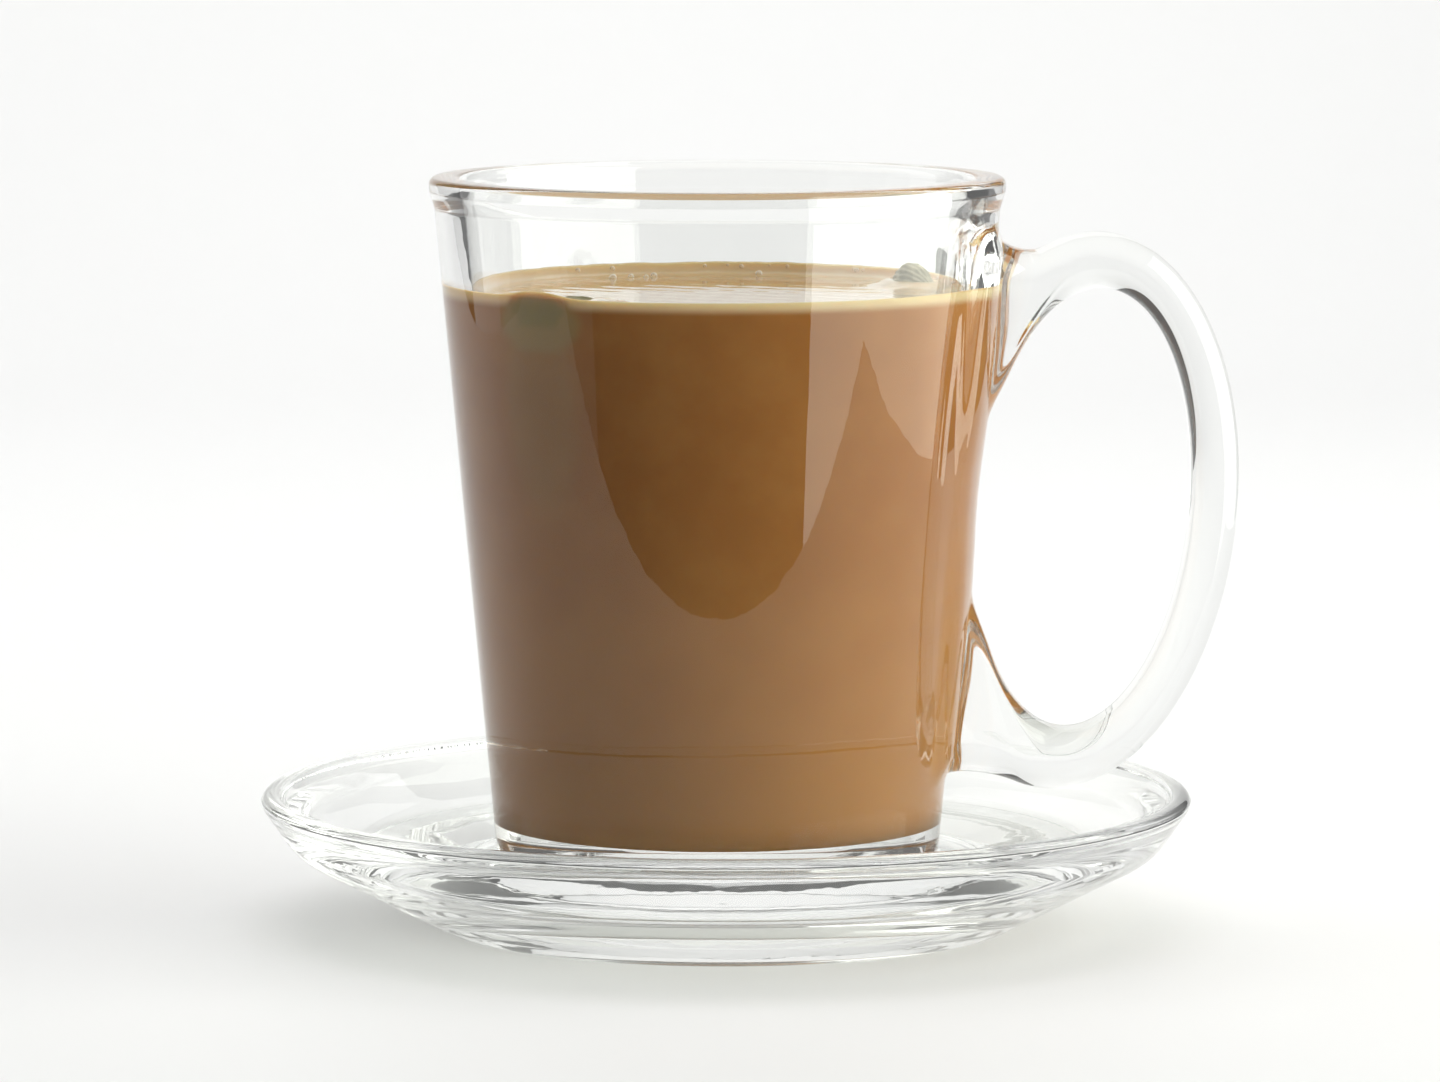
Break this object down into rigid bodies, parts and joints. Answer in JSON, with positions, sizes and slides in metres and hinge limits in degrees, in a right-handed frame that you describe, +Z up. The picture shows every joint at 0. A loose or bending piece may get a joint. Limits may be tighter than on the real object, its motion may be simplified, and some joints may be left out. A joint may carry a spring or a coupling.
{
  "type": "masala chai",
  "caption": "Milky spiced tea in a clear, thick-walled glass mug with a ring handle, on a clear glass saucer, with cardamom pods afloat.",
  "frame": {"origin": "middle of the saucer's foot ring, on the table", "axes": "+X towards the mug's handle, +Z up"},
  "size_m": [0.1364, 0.13, 0.1041],
  "materials": {
    "clear_glass": "clear pressed glass, polished",
    "milky_tea": "opaque milky brown liquid with a glossy surface",
    "green_pod": "wet, ribbed, papery husk"
  },
  "bodies": {
    "root": {"saucer": "clear_glass", "mug": "clear_glass", "chai": "milky_tea", "pod_front": "green_pod", "pod_back": "green_pod"}
  },
  "joints": []
}
